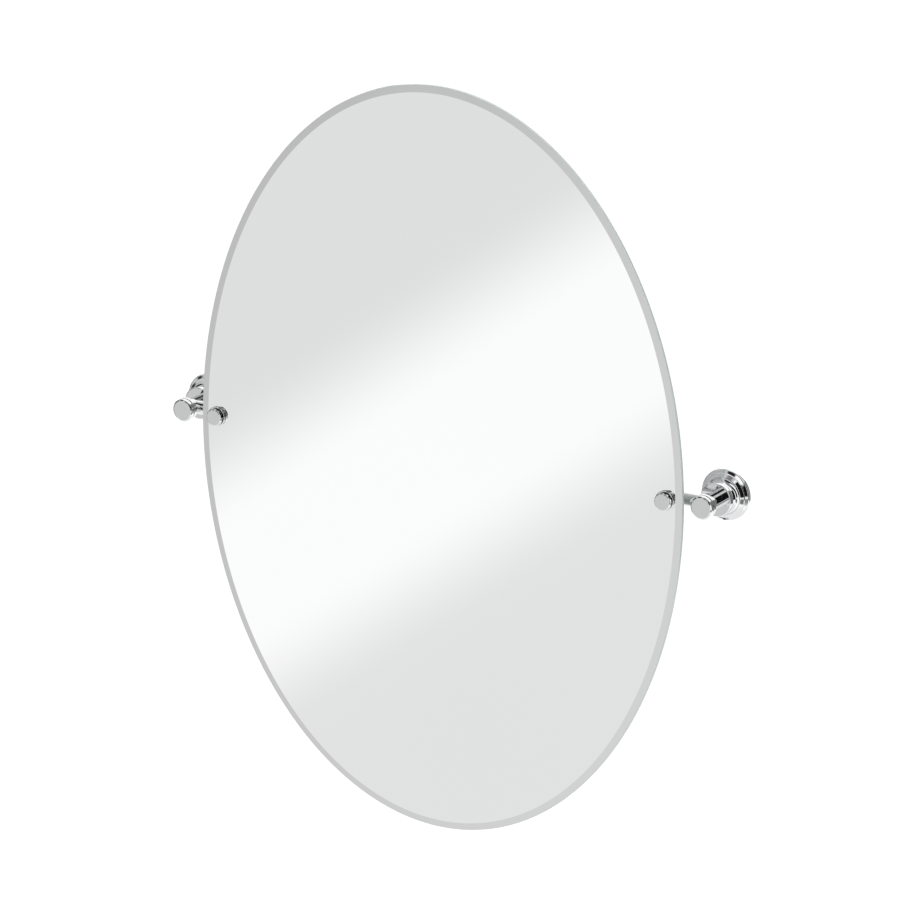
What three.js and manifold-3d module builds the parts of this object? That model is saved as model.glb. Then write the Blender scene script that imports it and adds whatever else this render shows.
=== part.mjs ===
// Oval pivot wall mirror: a bevelled oval pane held by two chromed wall brackets, free to tilt about
// the level line through both pivots. Millimetres, +Z up, +Y into the wall. The origin lies on the
// wall, midway between the two brackets, at the height of the pivots.

import * as THREE from 'three';
import { mergeVertices } from 'three/addons/utils/BufferGeometryUtils.js';
import Module from 'manifold-3d';

const wasm = await Module();
wasm.setup();

// ---------------------------------------------------------------- driving dimensions

// Pane
const glassWidth = 533.4;
const glassHeight = 736.6;
const glassThickness = 4;
const bevelWidth = 7.2;
const bevelDepth = 0.9;
const glassArris = 0.4;         // small flat ground on each sharp edge of the pane
const backPaint = 0.2;
const backPaintInset = 0.8;
const pivotRise = 8;          // the pivots sit this far above the pane's centre
const screwInset = 17.7;      // pane's side edge to the middle of each hole
const glassHoleRadius = 4.2;

// Clearances
const seat = 0.1;             // between faces that are clamped together
const fit = 0.15;             // radial, between a shank or spigot and its hole
const runningFit = 0.1;       // radial, between the pivot screw and the block that turns on it
const past = 1;               // how far a drill runs past what it cuts

// Wall end of a bracket
const rosetteRadius = 25;
const rosetteRim = 3.6;
const rosetteRimRound = 1.4;
const rosetteRimSlope = 0.35;  // rise from the rim to the step, for each millimetre across
const rosetteHeight = 16.5;
const rosetteStepRadius = 21.4;
const rosetteStep = 1.1;
const rosetteShoulderRadius = 18.2;
const rosetteShoulder = 2;
const rosetteNeckRadius = 12.6;
const cavityRadius = 20.4;
const cavityDepth = 5;
const screwWellRadius = 7;
const screwWellDepth = 4;
const wallPlateRadius = 19.8;
const wallPlateTaper = 1.2;
const wallPlateThickness = 4.6;
const wallScrewSpacing = 22;
const wallScrewRadius = 2.4;
const wallScrewHeadRadius = 4.6;

// Post
const postGap = 21.3;         // pane's side edge to the post's axis
const collarRadius = 16.2;
const collarThickness = 5.5;
const collarEdge = 0.7;
const neckRadius = 8;
const neckLength = 18.7;      // collar to the back of the post's front flange
const neckFlare = 1.9;
const flangeRadius = 11.2;
const flangeThickness = 3.5;
const flangeEdge = 0.5;
const capRadius = 11.2;
const capThickness = 4.6;
const capBevel = 1.3;
const capBevelSlope = 0.85;    // depth of the bevel, for each millimetre across
const capRearEdge = 0.4;
const capGroove = 1.2;
const capGrooveRadius = 9.4;
const capSpigotRadius = 4;
const capSpigotLength = 6.6;
const postSpigotRadius = 5;
const postSpigotInRosette = 3;
const postScrewRadius = 2.5;
const postScrewHeadRadius = 4.5;
const postScrewHeadHeight = 3;
const postScrewPastCollar = 2.8;  // how far it reaches into the neck beyond the collar

// Arm and pivot
const armSetback = 9.2;       // collar's front face to the arm's axis
const armRadius = 6.9;
const armEdge = 0.6;
const armSpigotRadius = 4;
const armSpigotReach = 4;     // beyond the post's axis
const armSpigotRoot = 2;      // how deep the spigot is rooted in the arm
const pivotScrewRadius = 2.5;
const pivotScrewInArm = 12;
const pivotScrewHeadRadius = 4.6;
const pivotScrewHeadHeight = 3.2;
const frictionWasherThickness = 0.8;
const frictionWasherRadius = 6.4;
const springWasherThickness = 1;
const springWasherRadius = 5.6;
const blockLength = 16;
const blockReach = 10;        // pivot axis to the face that the pane is clamped on
const blockBossRadius = 6.3;
const blockEdge = 0.6;
const grubScrewRadius = 2;
const grubScrewCone = 0.6;
const rosetteGrubSunk = 0.8;   // how deep the screw's end lies in its hole
const armGrubSunk = 0.3;
const grubSocketAcross = 2;
const socketAcross = 3;
const socketDepth = 1.6;

// Knob and the pieces around the hole in the pane
const rearWasherThickness = 1.2;
const rearWasherRadius = 8;
const sleeveWall = 1.2;
const frontPadThickness = 0.4;
const frontPadRadius = 9.2;
const knobWasherThickness = 1.5;
const knobWasherRadius = 9.7;
const knobWasherEdge = 0.5;
const knobRadius = 8.5;
const knobThickness = 3.3;
const knobBevel = 0.8;
const knobRearEdge = 0.4;
const knobNeckRadius = 6;
const knobNeckLength = 1.4;
const shankRadius = 2.5;
const shankInBlock = 6.3;

// Round pieces are drawn with these numbers of sides
const fineSides = 32;
const smallSides = 16;
const paneSides = 96;

// ---------------------------------------------------------------- places worked out from them

// Depths, measured along Y from the wall at zero towards the room
const collarBack = -rosetteHeight - seat;
const collarFront = collarBack - collarThickness;
const postBack = collarFront - seat;
const flangeBack = postBack - neckLength;
const flangeFront = flangeBack - flangeThickness;
const capBack = flangeFront - seat;
const pivotDepth = collarFront - armSetback;
const blockFace = pivotDepth - blockReach;
const rearWasherBack = blockFace - seat;
const paintBack = rearWasherBack - rearWasherThickness - seat;
const glassBack = paintBack - backPaint;
const glassFront = glassBack - glassThickness;
const padBack = glassFront - seat;
const knobWasherBack = padBack - frontPadThickness - seat;
const knobBack = knobWasherBack - knobWasherThickness - seat;
const wellFloor = -cavityDepth - screwWellDepth;
const spigotSeat = -rosetteHeight + postSpigotInRosette + fit;

// Distances across, from the middle of the mirror
const screwX = glassWidth / 2 - screwInset;
const postX = glassWidth / 2 + postGap;

// Distances along the arm, from the post's axis towards the middle of the mirror
const blockOuter = postX - screwX - blockLength / 2;
const blockInner = blockOuter + blockLength;
const armEnd = blockOuter - frictionWasherThickness - 2 * seat;

// ---------------------------------------------------------------- finishes

function finish(color, roughness, metalness) {
  return new THREE.MeshStandardMaterial({ color, roughness, metalness });
}

const chrome = () => finish(0xd4d6d8, 0.05, 1);
const mirrorFinish = () => finish(0xe6e9e8, 0.02, 1);
const paint = () => finish(0x6f7577, 0.6, 0);
const brass = () => finish(0xb99a5b, 0.35, 1);
const steel = () => finish(0xa9adb0, 0.35, 1);
const nylon = () => finish(0xe9e7df, 0.5, 0);
const clearVinyl = () => finish(0xdfe4e4, 0.3, 0);
const rubber = () => finish(0x2a2b2c, 0.85, 0);

// ---------------------------------------------------------------- making solids

// A closed solid from a geometry whose shared corners are merged
function solid(geometry) {
  geometry.deleteAttribute('normal');
  geometry.deleteAttribute('uv');
  const merged = mergeVertices(geometry, 1e-4);
  const corners = merged.index.array;
  const triangles = [];
  for (let i = 0; i < corners.length; i += 3) {
    const [a, b, c] = [corners[i], corners[i + 1], corners[i + 2]];
    if (a !== b && b !== c && c !== a) triangles.push(a, b, c);
  }
  return new wasm.Manifold(new wasm.Mesh({
    numProp: 3,
    vertProperties: new Float32Array(merged.attributes.position.array),
    triVerts: new Uint32Array(triangles),
  }));
}

// A turned shape about Y from [radius, depth] points, front first and outside before inside
function turnedGeometry(profile, sides) {
  return new THREE.LatheGeometry(profile.map(([r, y]) => new THREE.Vector2(r, y)), sides);
}

function turned(profile, sides = fineSides) {
  return solid(turnedGeometry(profile, sides));
}

function washer(inner, outer, front, back, sides = smallSides) {
  return turned([[inner, front], [outer, front], [outer, back], [inner, back], [inner, front]], sides);
}

// A quarter of a rounded or hollow edge, as points between two angles about a centre
function arc(centreR, centreY, radius, from, to, steps) {
  const points = [];
  for (let i = 0; i <= steps; i += 1) {
    const angle = from + ((to - from) * i) / steps;
    points.push([centreR + radius * Math.cos(angle), centreY + radius * Math.sin(angle)]);
  }
  return points;
}

// A round bar along Y, and the turns that lay it along another axis where it cuts a cross hole
function bar(radius, from, to, sides = smallSides) {
  return turnedGeometry([[0, from], [radius, from], [radius, to], [0, to]], sides);
}

function downwards(geometry, y) {
  return geometry.rotateX(-Math.PI / 2).translate(0, y, 0);
}

function sideways(geometry, y, towardMirror) {
  return geometry.rotateZ((-towardMirror * Math.PI) / 2).translate(0, y, 0);
}

// The six-sided recess for a hexagon key, about Y
function socket(across, from, to) {
  const radius = across / Math.sqrt(3);
  const geometry = new THREE.CylinderGeometry(radius, radius, Math.abs(to - from), 6);
  return geometry.translate(0, (from + to) / 2, 0);
}

function piece(name, body, material) {
  const data = body.getMesh();
  const geometry = new THREE.BufferGeometry();
  geometry.setAttribute('position', new THREE.BufferAttribute(new Float32Array(data.vertProperties), 3));
  geometry.setIndex(new THREE.BufferAttribute(new Uint32Array(data.triVerts), 1));
  geometry.computeVertexNormals();
  const mesh = new THREE.Mesh(geometry, material);
  mesh.name = name;
  return mesh;
}

// ---------------------------------------------------------------- the pane

// An oval plate: a turned disc whose every ring is stretched in height, so that each ring keeps an
// equal distance from the outline all the way round
function ovalPlate(rings) {
  const profile = rings.map(([inset, y]) => [Math.max(glassWidth / 2 - inset, 0), y]);
  const geometry = turnedGeometry(profile, paneSides);
  const position = geometry.attributes.position;
  for (let i = 0; i < position.count; i += 1) {
    const radius = Math.hypot(position.getX(i), position.getZ(i));
    const inset = glassWidth / 2 - radius;
    const stretch = radius > 0 ? (glassHeight / 2 - inset) / radius : 1;
    position.setZ(i, position.getZ(i) * stretch);
  }
  return solid(geometry.translate(0, 0, -pivotRise));
}

function drillPane(plate) {
  let drilled = plate;
  for (const x of [-screwX, screwX]) {
    const hole = bar(glassHoleRadius, glassFront - past, paintBack + past).translate(x, 0, 0);
    drilled = drilled.subtract(solid(hole));
  }
  return drilled;
}

function mirrorGlass() {
  return drillPane(ovalPlate([
    [glassWidth / 2, glassFront],
    [bevelWidth, glassFront],
    [glassArris, glassFront + bevelDepth],
    [0, glassFront + bevelDepth + glassArris],
    [0, glassBack - glassArris],
    [glassArris, glassBack],
    [glassWidth / 2, glassBack],
  ]));
}

function mirrorBacking() {
  return drillPane(ovalPlate([
    [glassWidth / 2, glassBack],
    [backPaintInset, glassBack],
    [backPaintInset, paintBack],
    [glassWidth / 2, paintBack],
  ]));
}

// ---------------------------------------------------------------- wall end of a bracket

// Dovetailed disc that is screwed to the wall, with two countersunk holes one above the other
function wallPlate() {
  let plate = turned([
    [0, -wallPlateThickness],
    [wallPlateRadius, -wallPlateThickness],
    [wallPlateRadius - wallPlateTaper, 0],
    [0, 0],
  ]);
  const sinkDepth = wallScrewHeadRadius - wallScrewRadius;
  for (const z of [-wallScrewSpacing / 2, wallScrewSpacing / 2]) {
    const hole = turnedGeometry([
      [0, -wallPlateThickness - past],
      [wallScrewHeadRadius + past, -wallPlateThickness - past],
      [wallScrewRadius, -wallPlateThickness + sinkDepth],
      [wallScrewRadius, past],
      [0, past],
    ], smallSides);
    plate = plate.subtract(solid(hole.translate(0, 0, z)));
  }
  return plate;
}

// Hollow turned rosette: a rim on the wall, a step, a shoulder and a cove up to its front face
function rosette() {
  const stepY = -rosetteRim - (rosetteRadius - rosetteStepRadius) * rosetteRimSlope;
  const shoulderBack = stepY - rosetteStep;
  const shoulderFront = shoulderBack - rosetteShoulder;
  const coveRadius = rosetteShoulderRadius - rosetteNeckRadius;
  const rimMiddle = rosetteRadius - rosetteRimRound;
  const shell = turned([
    [postSpigotRadius + fit, -rosetteHeight],
    [rosetteNeckRadius, -rosetteHeight],
    ...arc(rosetteNeckRadius + coveRadius, shoulderFront - coveRadius, coveRadius, Math.PI, Math.PI / 2, 5),
    [rosetteStepRadius, shoulderBack],
    [rosetteStepRadius, stepY],
    ...arc(rimMiddle, -rosetteRim + rosetteRimRound, rosetteRimRound, -Math.PI / 3, 0, 3),
    [rosetteRadius, 0],
    [cavityRadius, 0],
    [cavityRadius, -cavityDepth],
    [screwWellRadius, -cavityDepth],
    [screwWellRadius, wellFloor],
    [postScrewRadius + fit, wellFloor],
    [postScrewRadius + fit, spigotSeat],
    [postSpigotRadius + fit, spigotSeat],
    [postSpigotRadius + fit, -rosetteHeight],
  ]);
  const hole = bar(grubScrewRadius + fit, cavityRadius - past, rosetteRadius + past);
  return shell.subtract(solid(downwards(hole, -wallPlateThickness / 2)));
}

// Headless set screw along Y with a hexagon socket in its outer end
function grubScrew(length) {
  const screw = turned([
    [0, 0],
    [grubScrewRadius - grubScrewCone, 0],
    [grubScrewRadius, grubScrewCone],
    [grubScrewRadius, length],
    [0, length],
  ], smallSides);
  return screw.subtract(solid(socket(grubSocketAcross, length - socketDepth, length + past)));
}

// Cheese-head screw from inside the rosette into the post
function postScrew() {
  const headBack = wellFloor + postScrewHeadHeight;
  const tip = postBack - postScrewPastCollar;
  const screw = turned([
    [0, tip],
    [postScrewRadius, tip],
    [postScrewRadius, wellFloor + seat],
    [postScrewHeadRadius, wellFloor + seat],
    [postScrewHeadRadius, headBack],
    [0, headBack],
  ], smallSides);
  return screw.subtract(solid(socket(socketAcross, headBack - socketDepth, headBack + past)));
}

// ---------------------------------------------------------------- post

function collar() {
  return turned([
    [postSpigotRadius + fit, collarFront],
    [collarRadius - collarEdge, collarFront],
    [collarRadius, collarFront + collarEdge],
    [collarRadius, collarBack - collarEdge],
    [collarRadius - collarEdge, collarBack],
    [postSpigotRadius + fit, collarBack],
    [postSpigotRadius + fit, collarFront],
  ]);
}

// Turned post: front flange, flare, neck and a rear spigot, bored for the cap, arm and screws.
// towardMirror is -1 on the right-hand bracket and 1 on the left-hand one.
function post(towardMirror) {
  const capBoreFloor = flangeFront + capSpigotLength + seat;
  const screwBoreFloor = postBack - postScrewPastCollar - seat;
  const spigotBack = -rosetteHeight + postSpigotInRosette;
  const body = turned([
    [0, capBoreFloor],
    [capSpigotRadius + fit, capBoreFloor],
    [capSpigotRadius + fit, flangeFront],
    [flangeRadius - flangeEdge, flangeFront],
    [flangeRadius, flangeFront + flangeEdge],
    [flangeRadius, flangeBack - flangeEdge],
    [flangeRadius - flangeEdge, flangeBack],
    ...arc(neckRadius + neckFlare, flangeBack + neckFlare, neckFlare, -Math.PI / 2, -Math.PI, 3),
    [neckRadius, postBack],
    [postSpigotRadius, postBack],
    [postSpigotRadius, spigotBack],
    [postScrewRadius + fit, spigotBack],
    [postScrewRadius + fit, screwBoreFloor],
    [0, screwBoreFloor],
  ]);
  const reach = armSpigotReach + seat;
  const armHole = sideways(bar(armSpigotRadius + fit, -reach, neckRadius + past), pivotDepth, towardMirror);
  const grubHole = downwards(bar(grubScrewRadius + fit, 0, neckRadius + past), pivotDepth);
  return body.subtract(solid(armHole)).subtract(solid(grubHole));
}

// Flat-faced end cap with its groove and the spigot that screws into the post
function endCap() {
  const capFront = capBack - capGroove - capThickness;
  return turned([
    [0, capFront],
    [capRadius - capBevel, capFront],
    [capRadius, capFront + capBevel * capBevelSlope],
    [capRadius, capBack - capGroove - capRearEdge],
    [capRadius - capRearEdge, capBack - capGroove],
    [capGrooveRadius, capBack - capGroove],
    [capGrooveRadius, capBack],
    [capSpigotRadius, capBack],
    [capSpigotRadius, flangeFront + capSpigotLength],
    [0, flangeFront + capSpigotLength],
  ]);
}

// ---------------------------------------------------------------- arm and pivot, about Y

// Round arm with its end hollowed to sit on the post's neck and a spigot into the post
function arm() {
  const screwFloor = armEnd - pivotScrewInArm;
  const bore = pivotScrewRadius + fit;
  const body = turned([
    [0, 0],
    [armRadius, 0],
    [armRadius, armEnd - armEdge],
    [armRadius - armEdge, armEnd],
    [bore, armEnd],
    [bore, screwFloor],
    [0, screwFloor],
  ]);
  const neck = bar(neckRadius + fit, -2 * armRadius, 2 * armRadius, fineSides).rotateZ(Math.PI / 2);
  const spigot = bar(armSpigotRadius, -armSpigotReach, neckRadius + armSpigotRoot);
  return body.subtract(solid(neck)).add(solid(spigot));
}

function frictionWasher() {
  const front = armEnd + seat;
  return washer(pivotScrewRadius + fit, frictionWasherRadius, front, front + frictionWasherThickness);
}

function springWasher() {
  const front = blockInner + seat;
  return washer(pivotScrewRadius + fit, springWasherRadius, front, front + springWasherThickness);
}

// Shouldered screw that the block turns on, screwed into the arm from the middle of the mirror
function pivotScrew() {
  const tip = armEnd - pivotScrewInArm + seat;
  const underHead = blockInner + springWasherThickness + 2 * seat;
  const top = underHead + pivotScrewHeadHeight;
  const screw = turned([
    [0, tip],
    [pivotScrewRadius, tip],
    [pivotScrewRadius, underHead],
    [pivotScrewHeadRadius, underHead],
    [pivotScrewHeadRadius, top],
    [0, top],
  ], smallSides);
  return screw.subtract(solid(socket(socketAcross, top - socketDepth, top + past)));
}

// Block behind the pane: a barrel on the pivot screw with a boss that the pane is clamped on.
// The bracket's group is turned, so the boss points away from the wall along the group's own X, one
// way on the left-hand bracket and the other way on the right-hand one.
function pivotBlock(towardMirror) {
  const bore = pivotScrewRadius + runningFit;
  const barrel = turned([
    [bore, blockOuter],
    [armRadius - blockEdge, blockOuter],
    [armRadius, blockOuter + blockEdge],
    [armRadius, blockInner - blockEdge],
    [armRadius - blockEdge, blockInner],
    [bore, blockInner],
    [bore, blockOuter],
  ]);
  const middle = (blockOuter + blockInner) / 2;
  const turn = (-towardMirror * Math.PI) / 2;
  const boss = bar(blockBossRadius, pivotScrewRadius + 2 * blockEdge, blockReach, fineSides);
  const hole = bar(shankRadius + fit, blockReach - shankInBlock - seat, blockReach + past);
  return barrel
    .add(solid(boss.rotateZ(turn).translate(0, middle, 0)))
    .subtract(solid(hole.rotateZ(turn).translate(0, middle, 0)));
}

// ---------------------------------------------------------------- knob and the clamped stack

function rearWasher() {
  return washer(shankRadius + fit, rearWasherRadius, rearWasherBack - rearWasherThickness, rearWasherBack);
}

function glassSleeve() {
  const inner = shankRadius + fit;
  return washer(inner, inner + sleeveWall, glassFront, paintBack);
}

function frontPad() {
  return washer(shankRadius + fit, frontPadRadius, padBack - frontPadThickness, padBack);
}

function knobWasher() {
  const front = knobWasherBack - knobWasherThickness;
  return turned([
    [shankRadius + fit, front],
    [knobWasherRadius - knobWasherEdge, front],
    [knobWasherRadius, front + knobWasherEdge],
    [knobWasherRadius, knobWasherBack],
    [shankRadius + fit, knobWasherBack],
    [shankRadius + fit, front],
  ]);
}

// Flat-faced knob on a short neck, in one piece with the shank that runs through the pane
function knob() {
  const discBack = knobBack - knobNeckLength;
  const face = discBack - knobThickness;
  return turned([
    [0, face],
    [knobRadius - knobBevel, face],
    [knobRadius, face + knobBevel],
    [knobRadius, discBack - knobRearEdge],
    [knobRadius - knobRearEdge, discBack],
    [knobNeckRadius, discBack],
    [knobNeckRadius, knobBack],
    [shankRadius, knobBack],
    [shankRadius, blockFace + shankInBlock],
    [0, blockFace + shankInBlock],
  ]);
}

// ---------------------------------------------------------------- assembly

const mirror = new THREE.Group();
mirror.add(piece('mirror_glass', mirrorGlass(), mirrorFinish()));
mirror.add(piece('mirror_backing', mirrorBacking(), paint()));

function bracket(side, towardMirror) {
  // Pieces on the post's axis, which runs out from the wall
  const postGroup = new THREE.Group();
  postGroup.position.x = -towardMirror * postX;
  postGroup.add(piece(`${side}_wall_plate`, wallPlate(), steel()));
  postGroup.add(piece(`${side}_rosette`, rosette(), chrome()));
  postGroup.add(piece(`${side}_post_screw`, postScrew(), steel()));
  postGroup.add(piece(`${side}_collar`, collar(), chrome()));
  postGroup.add(piece(`${side}_post`, post(towardMirror), chrome()));
  postGroup.add(piece(`${side}_end_cap`, endCap(), chrome()));

  // Set screws point up from below: one holds the rosette on its plate, one holds the arm
  const plateEdge = wallPlateRadius - wallPlateTaper / 2 + 2 * fit;
  const rosetteGrubLength = rosetteRadius - rosetteGrubSunk - plateEdge;
  const rosetteGrub = piece(`${side}_rosette_grub_screw`, grubScrew(rosetteGrubLength), steel());
  rosetteGrub.rotation.x = -Math.PI / 2;
  rosetteGrub.position.set(0, -wallPlateThickness / 2, -plateEdge);
  postGroup.add(rosetteGrub);
  const spigotEdge = armSpigotRadius + fit;
  const armGrubLength = neckRadius - armGrubSunk - spigotEdge;
  const armGrub = piece(`${side}_arm_grub_screw`, grubScrew(armGrubLength), steel());
  armGrub.rotation.x = -Math.PI / 2;
  armGrub.position.set(0, pivotDepth, -spigotEdge);
  postGroup.add(armGrub);

  // Pieces on the pivot axis, which runs from the post towards the middle of the mirror
  const pivotGroup = new THREE.Group();
  pivotGroup.position.set(-towardMirror * postX, pivotDepth, 0);
  pivotGroup.rotation.z = (-towardMirror * Math.PI) / 2;
  pivotGroup.add(piece(`${side}_arm`, arm(), chrome()));
  pivotGroup.add(piece(`${side}_friction_washer`, frictionWasher(), nylon()));
  pivotGroup.add(piece(`${side}_pivot_block`, pivotBlock(towardMirror), brass()));
  pivotGroup.add(piece(`${side}_spring_washer`, springWasher(), steel()));
  pivotGroup.add(piece(`${side}_pivot_screw`, pivotScrew(), steel()));

  // Pieces on the axis of the hole in the pane
  const knobGroup = new THREE.Group();
  knobGroup.position.x = -towardMirror * screwX;
  knobGroup.add(piece(`${side}_rear_washer`, rearWasher(), rubber()));
  knobGroup.add(piece(`${side}_glass_sleeve`, glassSleeve(), nylon()));
  knobGroup.add(piece(`${side}_front_pad`, frontPad(), clearVinyl()));
  knobGroup.add(piece(`${side}_knob_washer`, knobWasher(), chrome()));
  knobGroup.add(piece(`${side}_knob`, knob(), chrome()));

  mirror.add(postGroup, pivotGroup, knobGroup);
}

bracket('left', 1);
bracket('right', -1);

export default mirror;
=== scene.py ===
import math

import bmesh
import bpy
from mathutils import Matrix, Vector


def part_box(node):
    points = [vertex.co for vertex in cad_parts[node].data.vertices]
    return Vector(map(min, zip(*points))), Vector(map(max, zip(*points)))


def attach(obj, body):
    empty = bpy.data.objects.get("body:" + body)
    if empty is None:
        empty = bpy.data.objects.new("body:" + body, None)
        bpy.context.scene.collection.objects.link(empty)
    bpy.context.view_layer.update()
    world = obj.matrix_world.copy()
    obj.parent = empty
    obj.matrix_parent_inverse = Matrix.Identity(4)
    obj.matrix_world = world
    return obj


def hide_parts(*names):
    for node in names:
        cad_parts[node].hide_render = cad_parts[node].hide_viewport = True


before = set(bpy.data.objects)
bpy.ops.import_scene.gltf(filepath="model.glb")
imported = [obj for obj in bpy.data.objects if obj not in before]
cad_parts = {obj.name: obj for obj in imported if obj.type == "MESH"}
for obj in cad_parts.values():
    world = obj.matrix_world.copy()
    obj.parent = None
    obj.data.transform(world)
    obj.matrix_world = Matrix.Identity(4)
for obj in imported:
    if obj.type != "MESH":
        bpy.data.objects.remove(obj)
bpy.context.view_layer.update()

# Oval pivot wall mirror between two chromed brackets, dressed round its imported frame. The wall is the
# plane y = 0 and the room lies towards -Y. Sizes are in metres, written as millimetres times mm.
scene = bpy.context.scene
mm = 0.001
SIDES = {"left": 1, "right": -1}      # sign of the way from each bracket to the mirror's middle


# ---------------------------------------------------------------- wall plates
# A dovetailed steel disc behind each rosette, turned and zinc plated. Two screws through its
# countersunk holes hold it to the wall, and the rosette is pushed over it and clamped.

NOISE_SPAN = (0.3, 0.7)                # most of a noise's values lie between these
SHARP = math.radians(34)               # edges that turn more than this stay sharp
WELD = 0.001 * mm                      # points closer than this are one point


def new_finish(name, color, roughness, metallic=0.0):
    """A material with its plain values on the shader's own sockets."""
    finish = bpy.data.materials.new(name)
    finish.use_nodes = True
    shader = finish.node_tree.nodes["Principled BSDF"]
    shader.inputs["Base Color"].default_value = (*color, 1)
    shader.inputs["Roughness"].default_value = roughness
    shader.inputs["Metallic"].default_value = metallic
    return finish


def noise_on(finish, scale, detail=3.0, stretch=(1, 1, 1)):
    """Noise in object coordinates, for a finish's colour, roughness or relief."""
    nodes, links = finish.node_tree.nodes, finish.node_tree.links
    coordinates = nodes.new("ShaderNodeTexCoord")
    mapping = nodes.new("ShaderNodeMapping")
    mapping.inputs["Scale"].default_value = stretch
    noise = nodes.new("ShaderNodeTexNoise")
    noise.inputs["Scale"].default_value = scale
    noise.inputs["Detail"].default_value = detail
    links.new(coordinates.outputs["Object"], mapping.inputs["Vector"])
    links.new(mapping.outputs["Vector"], noise.inputs["Vector"])
    return noise.outputs["Fac"]


def vary_color(finish, pattern, dark, light):
    """Runs a finish's colour from dark to light with a pattern."""
    nodes, links = finish.node_tree.nodes, finish.node_tree.links
    ramp = nodes.new("ShaderNodeValToRGB")
    for stop, position, color in zip(ramp.color_ramp.elements, NOISE_SPAN, (dark, light)):
        stop.position = position
        stop.color = (*color, 1)
    links.new(pattern, ramp.inputs["Fac"])
    links.new(ramp.outputs["Color"], nodes["Principled BSDF"].inputs["Base Color"])


def vary_roughness(finish, pattern, low, high):
    """Runs a finish's roughness from low to high with a pattern."""
    nodes, links = finish.node_tree.nodes, finish.node_tree.links
    span = nodes.new("ShaderNodeMapRange")
    span.inputs["From Min"].default_value = NOISE_SPAN[0]
    span.inputs["From Max"].default_value = NOISE_SPAN[1]
    span.inputs["To Min"].default_value = low
    span.inputs["To Max"].default_value = high
    links.new(pattern, span.inputs["Value"])
    links.new(span.outputs["Result"], nodes["Principled BSDF"].inputs["Roughness"])


def relief(finish, pattern, height):
    """Raises a finish's surface by up to height with a pattern."""
    nodes, links = finish.node_tree.nodes, finish.node_tree.links
    bump = nodes.new("ShaderNodeBump")
    bump.inputs["Distance"].default_value = height
    links.new(pattern, bump.inputs["Height"])
    links.new(bump.outputs["Normal"], nodes["Principled BSDF"].inputs["Normal"])


def made(name, shape, sharp=SHARP):
    """An object of a finished shape, smooth but for the edges that turn more than sharp."""
    bmesh.ops.remove_doubles(shape, verts=shape.verts[:], dist=WELD)
    bmesh.ops.recalc_face_normals(shape, faces=shape.faces[:])
    for face in shape.faces:
        face.smooth = True
    for edge in shape.edges:
        edge.smooth = edge.calc_face_angle(0) < sharp
    mesh = bpy.data.meshes.new(name)
    shape.to_mesh(mesh)
    shape.free()
    piece = bpy.data.objects.new(name, mesh)
    scene.collection.objects.link(piece)
    return piece


def dress(piece, node, body, slot, *finishes):
    """Gives a piece its finishes and the body it rides on, in place of its CAD node. The slot is not used.
    """
    for finish in finishes:
        piece.data.materials.append(finish)
    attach(piece, body)
    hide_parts(node)


def middle_of(node):
    """The middle of a node's box, where the axis of a turned piece runs."""
    low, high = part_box(node)
    return (low + high) / 2


def edges_at(verts):
    """The edges that meet these points, each once and in the same order each run."""
    return list(dict.fromkeys(edge for vert in verts for edge in vert.link_edges))


def ring(shape, middle, y, half_width, half_height, count):
    """The edges of an oval outline that lies flat to the wall."""
    place = Matrix.Translation((middle.x, y, middle.z))
    size = Matrix.Diagonal((half_width, 1, half_height, 1))
    turn = Matrix.Rotation(math.radians(90), 4, "X")
    circle = bmesh.ops.create_circle(shape, cap_ends=False, segments=count, radius=1,
                                     matrix=place @ size @ turn)
    return edges_at(circle["verts"])


def round_ring(shape, middle, y, radius, count):
    """The same for a round outline."""
    return ring(shape, middle, y, radius, radius, count)


def wall_through(shape, rings):
    """Joins each ring to the next."""
    for first, second in zip(rings, rings[1:]):
        bmesh.ops.bridge_loops(shape, edges=first + second)


def flat_between(shape, rings):
    """Fills the flat face that lies inside the first ring and outside the others."""
    edges = [edge for one in rings for edge in one]
    bmesh.ops.triangle_fill(shape, use_beauty=True, use_dissolve=False, edges=edges)


zinc = new_finish("zinc_plated_steel", (0.46, 0.47, 0.48), 0.34, metallic=1.0)
zinc_cloud = noise_on(zinc, 190, detail=5)
vary_color(zinc, zinc_cloud, (0.36, 0.37, 0.39), (0.55, 0.56, 0.55))
vary_roughness(zinc, zinc_cloud, 0.26, 0.46)
relief(zinc, noise_on(zinc, 260, stretch=(1, 9, 1)), 0.03 * mm)

plate_taper = 1.2 * mm
plate_edge = 0.35 * mm
wall_screw_spacing = 22 * mm
wall_screw_hole = 2.4 * mm
wall_screw_sink = 4.6 * mm
plate_points = 96
plate_hole_points = 32

for side in SIDES:
    node = f"{side}_wall_plate"
    low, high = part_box(node)
    middle = middle_of(node)
    radius = (high.x - low.x) / 2
    plate = bmesh.new()
    outline = [round_ring(plate, middle, y, r, plate_points) for y, r in (
        (high.y, radius - plate_taper - plate_edge),
        (high.y - plate_edge, radius - plate_taper),
        (low.y + plate_edge, radius),
        (low.y, radius - plate_edge),
    )]
    wall_through(plate, outline)
    back_holes, front_holes = [], []
    for up in (-wall_screw_spacing / 2, wall_screw_spacing / 2):
        spot = middle + Vector((0, 0, up))
        throat = low.y + wall_screw_sink - wall_screw_hole
        hole = [round_ring(plate, spot, y, r, plate_hole_points) for y, r in (
            (high.y, wall_screw_hole), (throat, wall_screw_hole), (low.y, wall_screw_sink))]
        wall_through(plate, hole)
        back_holes.append(hole[0])
        front_holes.append(hole[-1])
    flat_between(plate, [outline[0], *back_holes])
    flat_between(plate, [outline[-1], *front_holes])
    dress(made(f"{node}_fine", plate), node, "wall_brackets", "steel", zinc)


# ---------------------------------------------------------------- rosettes
# The stepped cover at the wall: turned hollow from brass, polished and chromed. A rim lies on the
# wall, then a step, a shoulder and a hollow cove run up to the face that the collar sits on.

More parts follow.
